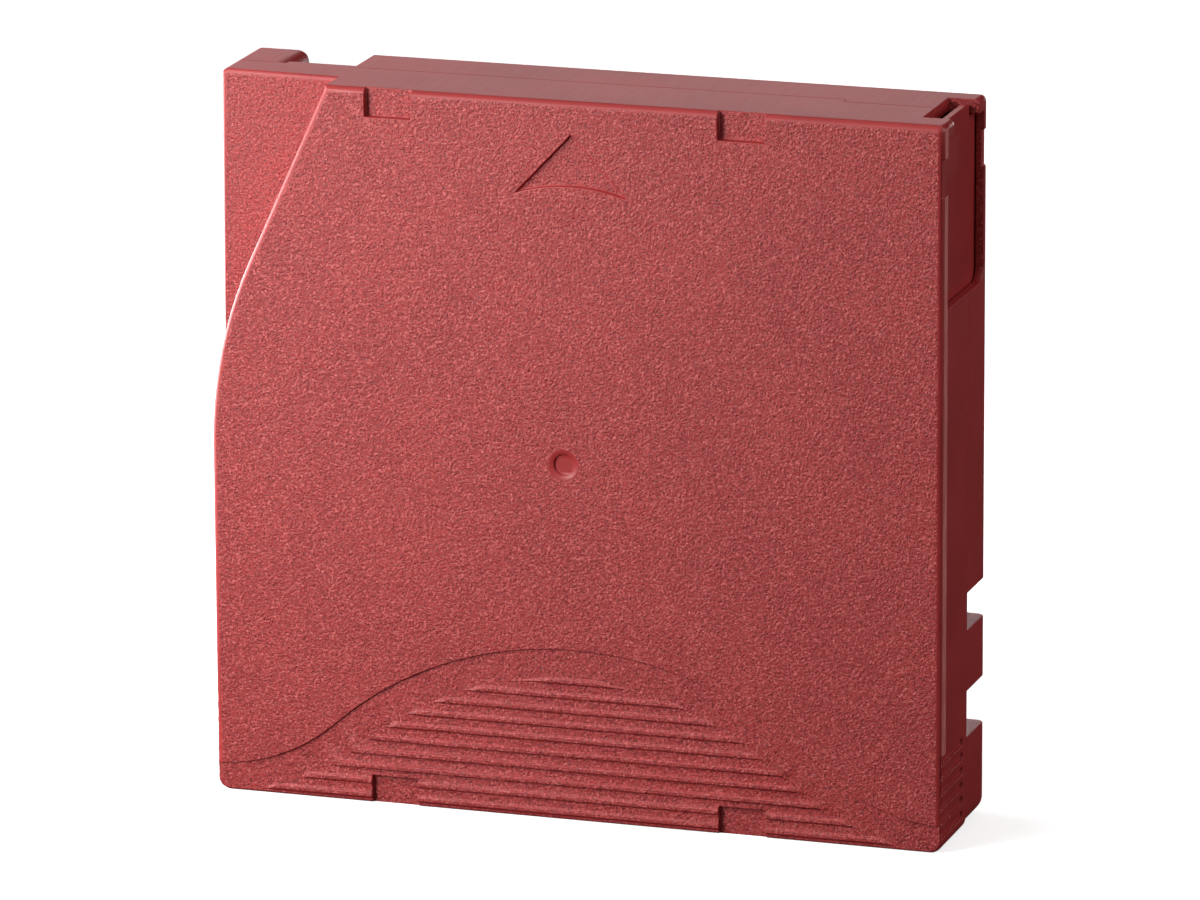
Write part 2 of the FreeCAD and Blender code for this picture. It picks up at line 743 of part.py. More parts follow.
grip_top = s.grip_high + s.grip_high_height + s.grip_wall
grip_inner = s.grip_notch_depth + s.grip_wall
guide_wall_x = s.guide_notch_to + s.wall
pocket(lower, "Interior", part_line, plate_far, [
    (grip_inner, s.wall), (width - grip_inner, s.wall), (width - grip_inner, grip_top),
    (inner_right, grip_top), (inner_right, inner_front), (guide_wall_x, inner_front),
    (guide_wall_x, hollow_top), *crease_points(hollow_top, s.wall),
    (s.wall, grip_top), (grip_inner, grip_top),
])
pocket(lower, "GuideHollow", part_line, plate_far, guide_hollow)
post_edge = s.guide_notch_from - s.guide_post_radius
pocket(lower, "GuideNotch", part_line, depth, [
    (s.guide_notch_from, length - s.guide_notch_length),
    (s.guide_notch_to, length - s.guide_notch_length),
    (s.guide_notch_to, length + MARGIN), (post_edge, length + MARGIN),
    (post_edge, length), ("arc", post_edge, length - s.guide_post_radius),
    (s.guide_notch_from, length - s.guide_post_radius),
])
grips = []
for low, height in ((s.grip_low, s.grip_low_height), (s.grip_high, s.grip_high_height)):
    grips.append(box(as_size(-MARGIN), low, s.grip_notch_depth, low + height))
    grips.append(box(width - s.grip_notch_depth, low, width + MARGIN, low + height))
pocket(lower, "GripNotches", part_line + s.grip_ledge, depth, *grips)

# screw posts, chamber rib, round window with its raised rim
lower_posts = [*screw_posts, corner_post]
pad(lower, "ScrewPosts", part_line, plate_far,
    *[("circle", x, z, s.post_radius) for x, z in lower_posts])
pocket(lower, "ScrewHoles", part_line, depth,
       *[("circle", x, z, s.screw_radius + s.screw_clearance) for x, z in lower_posts])
pocket(lower, "ScrewSinks", depth - s.screw_sink, depth,
       *[("circle", x, z, s.screw_head + 2 * s.screw_clearance) for x, z in lower_posts])
pad(lower, "ChamberRib", plate_far - s.chamber_rib_height, plate_far + JOIN, *chamber_rib)
pad(lower, "WindowRim", flange_far + s.reel_lift, plate_far + JOIN,
    ("circle", reel_x, reel_z, window_radius + s.rim_rib), ("circle", reel_x, reel_z, window_radius))
pocket(lower, "HubWindow", flange_far, depth, ("circle", reel_x, reel_z, window_radius))

# door side
pocket(lower, "DoorChannel", part_line, channel_far,
       box(door_inner, channel_end, door_outer, inner_front))
pocket(lower, "SideWindow", part_line, plate_far,
       box(inner_right, door_sill, width + MARGIN, inner_front))
pocket(lower, "FrontSlot", part_line, slot_far,
       box(inner_right, inner_front - JOIN, width + MARGIN, length + MARGIN))
pocket(lower, "RimNotch", plate_far, depth + MARGIN, rim_notch)
pocket(lower, "PinSeat", plate_far, channel_far, pin_slot)
pad(lower, "Tongue", part_line - s.tongue_depth, part_line,
    box(width - s.tongue_from, inner_front, inner_right, length))
fillet(lower, "SillRounding", s.sill_radius, lambda edge: (
    abs(edge.ZMin - door_sill.value) < 1e-4 and abs(edge.ZMax - door_sill.value) < 1e-4
    and abs(edge.YMin - plate_far.value) < 1e-4 and abs(edge.YMax - plate_far.value) < 1e-4
    and edge.XMin > door_outer.value - 1e-4))

# rear wall
pocket(lower, "LabelRecess", part_line, depth - s.label_edge, label)
pocket(lower, "TabWindow", part_line, tab_window_far, tab_window)
pad(lower, "TabRib", tab_window_far, plate_far, tab_rib)

# locating holes: one round, one slotted across the case
def slotted(radius):
    """The slot's outline: two half circles, each of two quarters, joined by straight sides."""
    z = s.datum_rear
    left = width - s.datum_slot_right - s.datum_slot
    right = width - s.datum_slot_right + s.datum_slot
    return [
        (left, z - radius), (right, z - radius), ("arc", right, z), (right + radius, z),
        ("arc", right, z), (right, z + radius), (left, z + radius), ("arc", left, z),
        (left - radius, z), ("arc", left, z),
    ]


datum_outer = s.datum_radius + s.datum_wall
pad(lower, "DatumPosts", depth - s.datum_depth - s.datum_wall, plate_far,
    ("circle", s.datum_left, s.datum_rear, datum_outer), slotted(datum_outer))
pocket(lower, "DatumHoles", depth - s.datum_depth, depth,
       ("circle", s.datum_left, s.datum_rear, s.datum_radius), slotted(s.datum_radius))

# sloping supports of the memory board
chip_left = width - s.chip_right
slope_foot = plate_far - s.chip_rise            # depth minus height along the slope
support_near = part_line + JOIN
support = [
    (plate_far, s.chip_rise), (support_near, support_near - slope_foot),
    (support_near, s.chip_rib_height), (plate_far, s.chip_rib_height),
]
for number, inset in enumerate((s.chip_rib_inset, s.chip_width - s.chip_rib_inset - s.chip_rib)):
    left = chip_left + inset
    pad_across(lower, f"ChipSupport{number}", left, left + s.chip_rib, support)

# ---------------------------------------------------------------- reel

reel_turn = 180 / s.brake_teeth         # sets the hub's teeth in the brake's gaps
hub_inner = s.hub_radius - s.hub_wall
hub_step = s.hub_radius - s.hub_wall / 2
brake_outer = hub_inner - s.brake_ring_gap
brake_inner = brake_outer - s.brake_ring
drive_outer = s.hub_radius - s.drive_rim
drive_inner = drive_outer - s.drive_tooth_length


def tooth(root_depth, tip_depth, root_width, tip_width):
    return [
        (root_depth, -root_width / 2), (root_depth, root_width / 2),
        (tip_depth, tip_width / 2), (tip_depth, -tip_width / 2),
    ]


hub = new_body("reel_hub", reel_x, reel_z, reel_turn)
revolve(hub, "HubTurned", [
    (0.0, hub_floor_near), (brake_inner, hub_floor_near), (brake_inner, stand_near),
    (brake_outer, stand_near), (brake_outer, hub_floor_near), (hub_inner, hub_floor_near),
    (hub_inner, flange_near), (hub_step, flange_near), (hub_step, tape_near),
    (s.hub_radius, tape_near), (s.hub_radius, tape_far), (flange_radius, tape_far),
    (flange_radius, flange_far), (s.hub_radius, flange_far), (s.hub_radius, hub_floor_far),
    (0.0, hub_floor_far),
])
brake_tooth = pad_across(
    hub, "BrakeTooth", brake_inner, brake_outer,
    tooth(stand_near, stand_near - s.brake_tooth, s.brake_root, s.brake_tip))
repeat_round(hub, brake_tooth, s.brake_teeth)
arm_gap = pocket(hub, "ArmGap", stand_near - s.brake_tooth - s.arm_clear, hub_floor_near,
                 box(brake_inner - s.arm_clear, -s.arm_gap / 2, brake_outer + s.arm_clear, s.arm_gap / 2))
repeat_round(hub, arm_gap, 3)
drive_tooth = pad_across(
    hub, "DriveTooth", drive_inner, drive_outer,
    tooth(hub_floor_far, hub_floor_far + s.drive_tooth, s.drive_root, s.drive_tip))
repeat_round(hub, drive_tooth, s.drive_teeth)
leg_hole_half = s.pad_arm / 2 + s.leg_gap
leg_inner = drive_inner + s.leg_inset
leg_outer = leg_inner + s.leg
leg_hole = pocket(hub, "LegHole", hub_floor_near, hub_floor_far + s.drive_tooth + JOIN,
                  box(leg_inner - s.leg_gap, -leg_hole_half, leg_outer + s.leg_gap / 2,
                      leg_hole_half))
repeat_round(hub, leg_hole, 3)

top_flange = new_body("upper_flange", reel_x, reel_z)
revolve(top_flange, "FlangeTurned", [
    (hub_step, flange_near), (flange_radius, flange_near), (flange_radius, tape_near),
    (hub_step, tape_near),
])

pack = new_body("tape_pack", reel_x, reel_z)
pack_near = tape_near + s.tape_side_gap
pack_far = tape_far - s.tape_side_gap
revolve(pack, "PackTurned", [
    (s.hub_radius, pack_near), (pack_radius, pack_near), (pack_radius, pack_far),
    (s.hub_radius, pack_far),
])

clutch = new_body("clutch_plate", reel_x, reel_z)
clutch_outer = drive_inner - s.clutch_gap
clutch_far = hub_floor_far + s.clutch_plate
revolve(clutch, "PlateTurned", [
    (s.clutch_inner, hub_floor_far), (clutch_outer, hub_floor_far), (clutch_outer, clutch_far),
    (s.clutch_inner, clutch_far),
])

# ---------------------------------------------------------------- brake and release pad

ring_inner = brake_inner + s.brake_side_gap
ring_outer = brake_outer - s.brake_side_gap

brake = new_body("brake_disc", reel_x, reel_z)
revolve(brake, "DiscTurned", [
    (0.0, pad_near), (s.brake_foot, pad_near), (s.brake_foot, disc_near + s.brake_disc),
    (ring_inner, disc_near + s.brake_disc), (ring_inner, ring_far), (ring_outer, ring_far),
    (ring_outer, disc_near), (s.brake_boss, disc_near), (s.brake_boss, boss_near),
    (0.0, boss_near),
])
disc_tooth = pad_across(
    brake, "DiscTooth", ring_inner, ring_outer,
    tooth(ring_far, ring_far + s.brake_tooth, s.brake_root, s.brake_tip))
repeat_round(brake, disc_tooth, s.brake_teeth)
pocket(brake, "KeySlot", boss_near, key_end + s.brake_travel + s.key_gap,
       cross(s.key_length + s.key_gap, s.key_width / 2 + s.key_gap))

spring = new_body("brake_spring", reel_x, reel_z)
coil_start = plate_near + s.coil_wire / 2 + s.coil_gap
coil_height = disc_near - s.coil_wire / 2 - s.coil_gap - coil_start
coil(spring, "BrakeCoil", "XY_Plane", coil_radius, coil_start, s.coil_wire,
     coil_height / s.coil_turns, coil_height)

release = new_body("release_pad", reel_x, reel_z, reel_turn)
pad(release, "PadDisc", pad_near, hub_floor_near, ("circle", 0.0, 0.0, s.pad_radius))
arm = pad(release, "Arm", pad_near, hub_floor_near,
          box(s.pad_radius / 2, -s.pad_arm / 2, leg_outer, s.pad_arm / 2))
repeat_round(release, arm, 3)
leg = pad(release, "Leg", hub_floor_near - JOIN, hub_floor_far + s.drive_tooth - s.leg_short,
          box(leg_inner, -s.pad_arm / 2, leg_outer, s.pad_arm / 2))
repeat_round(release, leg, 3)

# ---------------------------------------------------------------- door and its spring

door = new_body("door")
door_left = door_inner + (s.door_channel - s.door_plate) / 2
door_right = door_left + s.door_plate
door_top = inner_front - s.door_top_gap
door_nose = inner_front + s.door_lug
door_bottom = door_sill - s.door_tail
door_foot = door_sill - s.door_overlap
pad(door, "DoorPlate", channel_near + s.door_gap, channel_far - s.door_gap,
    box(door_left, door_foot, door_right, door_top))
pad(door, "DoorTail", channel_near + s.door_gap + s.door_tail_inset,
    channel_far - s.door_gap - s.door_tail_inset,
    box(door_left, door_bottom, door_right, door_foot + JOIN))
pad(door, "DoorNose", slot_near + s.door_gap, slot_far - s.door_gap,
    box(door_left, door_top - JOIN, door_right, door_nose))
fillet(door, "NoseRounding", s.door_plate / 4, lambda edge: (
    edge.ZMin > door_nose.value - 1e-4 and edge.XLength < 1e-4))

door_spring = new_body("door_spring", (door_inner + door_outer) / 2, as_size(0.0))
door_spring.setExpression(
    "Placement.Base.y", (part_line - s.spring_bay / 2 - depth / 2).text)
door_coil_start = s.spring_end + s.door_gap
door_coil_height = door_bottom - s.door_gap - door_coil_start
coil(door_spring, "DoorCoil", "XZ_Plane", s.door_coil, door_coil_start, s.door_wire,
     door_coil_height / s.door_coil_turns, door_coil_height)

# ---------------------------------------------------------------- leader pin and tape end

pin_near = channel_near + s.door_gap
pin_far = channel_far - s.door_gap
pin = new_body("leader_pin", pin_x, pin_z)
revolve(pin, "PinTurned", [
    (0.0, pin_near), (s.pin_head, pin_near), (s.pin_head, pin_near + s.pin_head_length),
    (s.pin_radius, pin_near + s.pin_head_length), (s.pin_radius, pin_far - s.pin_head_length),
    (s.pin_head, pin_far - s.pin_head_length), (s.pin_head, pin_far), (0.0, pin_far),
])

clip = new_body("leader_clip", pin_x, pin_z)
clip_inner = s.pin_radius + s.clip_gap
revolve(clip, "ClipTurned", [
    (clip_inner, pack_near), (clip_inner + s.clip_wall, pack_near),
    (clip_inner + s.clip_wall, pack_far), (clip_inner, pack_far),
], s.clip_angle)

# The tape's free end: a straight tangent from the full pack to the clip.
wrap_reel = pack_radius + s.leader_gap
wrap_pin = clip_inner + s.clip_wall
run_x, run_z = pin_x - reel_x, pin_z - reel_z
run_squared = run_x * run_x + run_z * run_z
lever = wrap_reel - wrap_pin
reach = root(run_squared - lever * lever)
normal_x = (run_x * lever + run_z * reach) / run_squared
normal_z = (run_z * lever - run_x * reach) / run_squared


def tangent_point(x, z, radius):
    return x + normal_x * radius, z + normal_z * radius


leader = new_body("tape_leader")
pad(leader, "LeaderStrip", pack_near, pack_far, [
    tangent_point(reel_x, reel_z, wrap_reel), tangent_point(reel_x, reel_z, wrap_reel + s.leader),
    tangent_point(pin_x, pin_z, wrap_pin + s.leader),
    tangent_point(pin_x, pin_z, wrap_pin),
])

# Leaf spring: a strip along the front wall with two arms over the pin's heads.
leaf = new_body("pin_spring")
leaf_left = pin_x - s.leaf_from
seat_end = leaf_left + s.leaf_seat
contact = pin_z + s.pin_head + s.pin_seat_gap + s.leaf
leaf_line = [
    (leaf_left, inner_front), (seat_end, inner_front), (pin_x, contact),
    (pin_x + s.leaf_tip, contact + s.leaf_tip_rise),
]
leaf_outline = leaf_line + [(x, z - s.leaf) for x, z in reversed(leaf_line)]
leaf_near = plate_near + s.leaf_side_gap
leaf_far = plate_far - s.leaf_side_gap
pad(leaf, "LeafArmNear", leaf_near, leaf_near + s.leaf_width, leaf_outline)
pad(leaf, "LeafSeat", leaf_near + s.leaf_seat_inset, leaf_far - s.leaf_seat_inset,
    box(leaf_left, inner_front - s.leaf, seat_end, inner_front))
pad(leaf, "LeafArmFar", leaf_far - s.leaf_width, leaf_far, leaf_outline)

# ---------------------------------------------------------------- write-protect slider

tab = new_body("write_protect_tab")
nub_left = s.tab_window_from + s.tab_gap
plate_left = nub_left - s.tab_plate_start
plate_z = s.wall + s.slide_gap
pad(tab, "SliderPlate", tab_window_near - s.tab_overlap, tab_window_far + s.tab_overlap,
    box(plate_left, plate_z, plate_left + s.tab_plate_length, plate_z + s.tab_plate))
pad(tab, "SliderNub", tab_window_near + s.tab_gap, tab_window_far - s.tab_gap,
    box(nub_left, s.tab_nub_set_back, nub_left + s.tab_nub, plate_z + JOIN))
grooves = []
for number in (-1, 0, 1):
    centre = nub_left + s.tab_nub / 2 + number * s.tab_nub_pitch
    groove_left = centre - s.tab_nub_groove / 2
    grooves.append(box(groove_left, as_size(0.0), groove_left + s.tab_nub_groove,
                       s.tab_nub_set_back + s.tab_gap))
pocket(tab, "NubGrooves", tab_window_near + s.tab_nub_rail, tab_window_far - s.tab_nub_rail, *grooves)

# ---------------------------------------------------------------- cartridge memory

# The board lies at 45 degrees on its supports, between the bottom plate and the rear wall.
memory = new_body("memory_board")
lay = s.chip_board / math.sqrt(2)


def on_slope(at, out):
    """A point on the sloping supports, a number of board thicknesses out from them."""
    return at + lay * out, at - slope_foot - lay * out


chip_far = plate_far - s.chip_plate_gap
chip_near = chip_far - s.chip_length
pad_across(memory, "Board", chip_left, chip_left + s.chip_width, [
    on_slope(chip_near, 0), on_slope(chip_far, 0), on_slope(chip_far, 1), on_slope(chip_near, 1),
])
die_left = chip_left + (s.chip_width - s.chip_die) / 2
die_near = (chip_near + chip_far - s.chip_die_length) / 2
die_far = die_near + s.chip_die_length
pad_across(memory, "Die", die_left, die_left + s.chip_die, [
    on_slope(die_near, -s.chip_die_thickness), on_slope(die_far, -s.chip_die_thickness),
    on_slope(die_far, 0), on_slope(die_near, 0),
])

# ---------------------------------------------------------------- case screws

# Four equal screws with flat heads; each is a turned solid with a cross recess in its head.
head_near = depth - s.screw_sink
head_far = head_near + s.screw_head_height
tip = part_line - s.screw_grip
profile = [
    (as_size(0.0), head_far), (s.screw_head, head_far), (s.screw_head, head_near),
    (s.screw_radius, head_near), (s.screw_radius, tip + s.screw_point),
    (s.screw_radius - s.screw_point, tip), (as_size(0.0), tip),
]
wire = Part.makePolygon([Vector(r.value, y.value, 0) for r, y in [*profile, profile[0]]])
blank = Part.Face(wire).revolve(Vector(), Vector(0, 1, 0), 360)
cross_long, cross_thin = s.screw_cross.value, s.screw_cross_width.value
for size_x, size_z in ((cross_long, cross_thin), (cross_thin, cross_long)):
    floor = (head_far - s.screw_cross_depth).value
    recess = Part.makeBox(size_x, MARGIN, size_z, Vector(-size_x / 2, floor, -size_z / 2))
    blank = blank.cut(recess)
screws = doc.addObject("Part::Feature", "case_screws")
screws.Label = "case_screws"
screws.Shape = Part.makeCompound([
    blank.translated(Vector(x.value, 0, z.value)) for x, z in lower_posts
])
screws.Placement = FreeCAD.Placement(
    Vector(-middle.value, -depth.value / 2, 0), FreeCAD.Rotation())

# ---------------------------------------------------------------- check and write

doc.recompute()
for item in doc.Objects:
    bad = {"Invalid", "Error"} & set(item.State)
    if bad:
        raise RuntimeError(f"{item.Name} ({item.Label}) is {sorted(bad)}")

sub_parts = [
    upper, lower, door, door_spring, tab, hub, top_flange, pack, clutch, brake, spring, release,
    pin, clip, leader, leaf, memory, screws,
]
for item in sub_parts:
    shape = item.Shape
    if shape.isNull() or not shape.isValid() or not shape.Solids:
        raise RuntimeError(f"{item.Label} has no valid solid")
    expected = len(lower_posts) if item is screws else 1
    if len(shape.Solids) != expected:
        raise RuntimeError(f"{item.Label} has {len(shape.Solids)} solids, not {expected}")

os.makedirs("parts", exist_ok=True)
for item in sub_parts:
    item.Shape.exportStep(f"parts/{item.Label}.step")
    print(f"{item.Label}: {item.Shape.Volume:.1f} mm3")
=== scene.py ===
import math

import bmesh
import bpy
from mathutils import Matrix, Vector


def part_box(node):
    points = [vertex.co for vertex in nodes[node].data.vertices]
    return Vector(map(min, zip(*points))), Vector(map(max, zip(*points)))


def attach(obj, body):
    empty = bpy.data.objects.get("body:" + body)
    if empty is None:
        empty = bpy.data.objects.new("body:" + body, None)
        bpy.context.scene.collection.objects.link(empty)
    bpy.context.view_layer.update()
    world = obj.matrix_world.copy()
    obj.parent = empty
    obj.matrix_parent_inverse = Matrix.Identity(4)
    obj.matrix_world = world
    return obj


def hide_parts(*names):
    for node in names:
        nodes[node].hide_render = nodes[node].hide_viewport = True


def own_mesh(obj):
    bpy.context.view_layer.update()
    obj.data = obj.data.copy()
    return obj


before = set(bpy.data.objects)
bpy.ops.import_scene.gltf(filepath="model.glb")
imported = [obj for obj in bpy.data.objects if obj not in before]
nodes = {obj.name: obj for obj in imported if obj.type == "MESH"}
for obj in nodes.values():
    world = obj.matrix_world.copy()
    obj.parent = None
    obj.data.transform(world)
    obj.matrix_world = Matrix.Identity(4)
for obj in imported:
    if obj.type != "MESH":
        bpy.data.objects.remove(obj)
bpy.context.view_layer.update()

# ---------------------------------------------------------------- sizes, in millimetres

MM = 0.001                              # metres in a millimetre
CASE_WIDTH, CASE_DEPTH = 105.4, 21.5
REEL_X, REEL_Z = 51.4, 50.9             # the reel's axis
TOUCH = 0.001                           # points closer than this are one point

# Insertion guide, rim beside the door (painted paler for its sheen) and central dimple of the upper
# shell.
GUIDE_STEP, GUIDE_RADIUS = 6.0, 0.85
RIM_DEPTH, RIM_FOOT = 2.0, 13.2
DIMPLE_RADIUS, DIMPLE_SLOPE = 2.25, 0.5
DIMPLE_REACH = 1.0                      # the dimple's own faces are less deep than this

# Grip field: its depth and top, how far it keeps from the case's sides and rear edge, how high its
# grain starts, and its ribs.
RELIEF, GRIP_TOP = 0.3, 25.0
GRIP_SIDE, GRIP_FOOT, GRIP_GRAIN_FOOT = 1.2, 0.2, 1.0
RIB_FIRST, RIB_PITCH, RIB_RISE = 0.9, 2.1, 0.25
RIB_REACH = 0.5                         # half a rib's height and a little
RIB_MARGIN, RIB_END_SPAN = 1.0, 6.5     # outside a rib's tip, and from there to where it is whole
# From the lowest rib up: how far from the side a plain arc ends each rib, and how much further in
# it ends here. The ends slope up to the rib's top.
RIB_TIPS = (11.7, 15.3, 17.7, 19.8, 21.9, 24.4, 27.5, 31.0, 35.5, 42.0)
RIB_ENDS = (-4.9, -2.9, -1.0, 0.0, 0.3, 0.7, 0.65, 1.0, 1.1, 2.5)
RIB_SLOPE = 0.45
RIB_TOP = 0.1                           # points less deep than this are on a rib's top

SHELL_EDGE = 0.12                       # edge radius of the shells and the door


def at(x, depth, z):
    """A point given in case millimetres (from the left side, the main face and the rear edge)."""
    return Vector((x - CASE_WIDTH / 2, depth - CASE_DEPTH / 2, z)) * MM


def where(point):
    """Case millimetres of a point: from the left side, the main face and the rear edge."""
    return point.x / MM + CASE_WIDTH / 2, point.y / MM + CASE_DEPTH / 2, point.z / MM


# ---------------------------------------------------------------- colours and material helpers

NOISE_LOW, NOISE_HIGH = 0.3, 0.7        # most of a noise pattern lies between these


def srgb(code):
    """A hex colour such as "A93434" as linear red, green, blue and alpha."""
    levels = [int(code[n:n + 2], 16) / 255 for n in (0, 2, 4)]
    return [v / 12.92 if v <= 0.04045 else ((v + 0.055) / 1.055) ** 2.4 for v in levels] + [1.0]


class Finish:
    """A node material under construction around one Principled shader."""

    def __init__(self, name, colour, roughness, metallic=0.0, **sockets):
        self.material = bpy.data.materials.new(name)
        self.material.use_nodes = True
        self.tree = self.material.node_tree
        self.shader = self.tree.nodes["Principled BSDF"]
        self.shader.inputs["Base Color"].default_value = srgb(colour)
        self.shader.inputs["Roughness"].default_value = roughness
        self.shader.inputs["Metallic"].default_value = metallic
        for socket, value in sockets.items():
            self.shader.inputs[socket.replace("_", " ")].default_value = value
        self.place = self.add("ShaderNodeTexCoord").outputs["Object"]
        self.bumps = None

    def add(self, kind, links=(), **settings):
        """A node with its inputs linked and its properties or plain inputs set."""
        node = self.tree.nodes.new(kind)
        for key, value in settings.items():
            if hasattr(node, key):
                setattr(node, key, value)
            else:
                node.inputs[key.replace("_", " ")].default_value = value
        for socket, source in dict(links).items():
            self.tree.links.new(source, node.inputs[socket])
        return node

    def stretched(self, x, y, z):
        """Object coordinates scaled per axis, for grain that runs one way."""
        return self.add("ShaderNodeMapping", {"Vector": self.place}, Scale=(x, y, z)).outputs[0]

    def reel_radius(self):
        """Distance from the reel's axis, in metres."""
        centred = self.add(
            "ShaderNodeMapping", {"Vector": self.place}, vector_type="TEXTURE",
            Location=at(REEL_X, 0, REEL_Z))
        flat = self.add("ShaderNodeVectorMath", {0: centred.outputs[0]}, operation="MULTIPLY")
        flat.inputs[1].default_value = (1.0, 0.0, 1.0)
        return self.add("ShaderNodeVectorMath", {0: flat.outputs[0]}, operation="LENGTH").outputs["Value"]

    def noise(self, millimetres, detail=2.0, rough=0.5, place=None):
        """Noise whose lumps are about this many millimetres across."""
        return self.add(
            "ShaderNodeTexNoise", {"Vector": place or self.place}, Scale=1 / (millimetres * MM),
            Detail=detail, Roughness=rough).outputs["Fac"]

    def cells(self, millimetres):
        """Distance from the middles of cells about this many millimetres across."""
        return self.add(
            "ShaderNodeTexVoronoi", {"Vector": self.place}, Scale=1 / (millimetres * MM)
        ).outputs["Distance"]

    def ramp(self, source, low, high, start=0.0, end=1.0):
        """Maps the span from low to high onto the span from start to end."""
        return self.add(
            "ShaderNodeMapRange", {"Value": source}, From_Min=low, From_Max=high, To_Min=start,
            To_Max=end).outputs[0]

    def mix(self, factor, first, second):
        """Mixes two colours (hex codes or sockets) by a factor socket."""
        node = self.add("ShaderNodeMix", data_type="RGBA")
        self.tree.links.new(factor, node.inputs["Factor"])
        for socket, colour in ((node.inputs[6], first), (node.inputs[7], second)):
            if isinstance(colour, str):
                socket.default_value = srgb(colour)
            else:
                self.tree.links.new(colour, socket)
        return node.outputs[2]

    def math(self, operation, first, second=0.0):
        """A sum or function of sockets and plain numbers."""
        node = self.add("ShaderNodeMath", operation=operation)
        for socket, value in zip(node.inputs, (first, second)):
            if isinstance(value, (int, float)):
                socket.default_value = value
            else:
                self.tree.links.new(value, socket)
        return node.outputs[0]

    def colour(self, source):
        """Sets the base colour from a socket."""
        self.tree.links.new(source, self.shader.inputs["Base Color"])

    def roughness(self, source, low, high):
        """Lets the roughness run from low to high with a pattern."""
        spread = self.ramp(source, NOISE_LOW, NOISE_HIGH, low, high)
        self.tree.links.new(spread, self.shader.inputs["Roughness"])

    def bump(self, source, height):
        """Stacks a bump of this height in millimetres on the earlier ones."""
        node = self.add("ShaderNodeBump", {"Height": source}, Distance=height * MM, Strength=1.0)
        if self.bumps is not None:
            self.tree.links.new(self.bumps, node.inputs["Normal"])
        self.bumps = node.outputs["Normal"]
        self.tree.links.new(self.bumps, self.shader.inputs["Normal"])


# ---------------------------------------------------------------- finishes

def eroded_plastic():
    """Pearl-pigmented crimson ABS moulded against a spark-eroded steel face: grain of 0.2 to
    0.4 mm, its pits painted darker as shade, small flakes of pigment whose sparkle is painted as a
    lighter colour, and a slow cloudiness over centimetres."""
    finish = Finish("crimson_spark_eroded_abs", "A83636", 0.45, Specular_IOR_Level=0.5)
    grain = finish.noise(0.38, 2.0, 0.6)
    pits = finish.noise(0.24, 1.0, 0.5)
    cloud = finish.noise(14.0, 2.0)
    flake_glints = finish.noise(0.34, 1.0)
    body = finish.mix(finish.ramp(cloud, 0.35, 0.65), "A33334", "AB3837")
    # painted shade: the low spots of the pit noise, which the bump below also sinks, are coloured darker
    dark = finish.mix(finish.ramp(pits, 0.34, 0.5), "701A1D", body)
    # painted glint: pigment flakes are given a lighter colour to stand for their sparkle
    finish.colour(finish.mix(finish.ramp(flake_glints, 0.55, 0.7), dark, "C65A57"))
    finish.roughness(grain, 0.44, 0.56)
    finish.bump(grain, 0.16)
    finish.bump(pits, 0.05)
    return finish.material


def satin_plastic():
    """The same crimson ABS against a stoned tool wall: smooth satin with faint draw marks 0.5 mm
    apart along the depth, orange peel of 0.8 mm and a cloud of colour over 12 mm."""
    finish = Finish("crimson_satin_abs", "A32E2F", 0.42, Specular_IOR_Level=0.5)
    drawn = finish.noise(0.5, 3.0, place=finish.stretched(1.0, 0.06, 1.0))
    peel = finish.noise(0.8, 2.0)
    cloud = finish.noise(12.0, 2.0)
    finish.colour(finish.mix(finish.ramp(cloud, 0.35, 0.65), "9E2C2D", "A93131"))
    finish.roughness(drawn, 0.39, 0.44)
    finish.bump(peel, 0.004)
    finish.bump(drawn, 0.0008)
    return finish.material


def moulded(name, light, dark, roughness, peel=0.006):
    """Injection-moulded engineering plastic: orange peel and flecks of 0.4 mm, and a cloud of
    colour over 5 mm."""
    finish = Finish(name, light, roughness)
    cloud = finish.noise(5.0, 3.0)
    fine = finish.noise(0.4, 3.0)
    shade = finish.mix(finish.ramp(cloud, 0.3, 0.7), dark, light)
    finish.colour(finish.mix(finish.ramp(fine, 0.62, 0.75), shade, light))
    finish.roughness(fine, roughness - 0.06, roughness + 0.08)
    finish.bump(fine, peel)
    return finish.material


def steel(name, colour, roughness, grain, height=0.0015):
    """Ground or drawn steel: scratches 0.35 mm apart along the working direction and a change of
    tone over 4 mm."""
    finish = Finish(name, colour, roughness, metallic=1.0)
    lines = finish.noise(0.35, 4.0, place=finish.stretched(*grain))
    cloud = finish.noise(4.0, 2.0)
    finish.colour(finish.mix(finish.ramp(cloud, 0.3, 0.7), colour, "8E8F90"))
    finish.roughness(lines, roughness - 0.08, roughness + 0.12)
    finish.bump(lines, height)
    return finish.material


def turned_steel():
    """Stamped clutch washer, tumbled and then faced: rings 0.12 mm apart about the reel axis and
    wear in patches of 2.5 mm."""
    finish = Finish("clutch_faced_steel", "B4B4B2", 0.3, metallic=1.0)
    turns = finish.math("MULTIPLY", finish.reel_radius(), 2 * math.pi / (0.12 * MM))
    rings = finish.math("SINE", turns)
    wear = finish.noise(2.5, 4.0)
    finish.colour(finish.mix(finish.ramp(wear, 0.3, 0.8), "C4C4C2", "A9A9A7"))
    finish.roughness(wear, 0.28, 0.38)
    finish.bump(rings, 0.0008)
    return finish.material


def wound_tape():
    """The edges of thousands of turns of film: rings of about 0.18 mm, some standing proud."""
    finish = Finish("magnetic_film_wound", "1B1716", 0.32, Specular_IOR_Level=0.6)
    outwards = finish.add("ShaderNodeCombineXYZ", {"X": finish.reel_radius()})
    turns = finish.noise(0.18, 3.0, place=outwards.outputs[0])
    finish.colour(finish.mix(finish.ramp(turns, 0.4, 0.65), "141110", "2C2521"))
    finish.roughness(turns, 0.25, 0.45)
    finish.bump(turns, 0.02)
    return finish.material


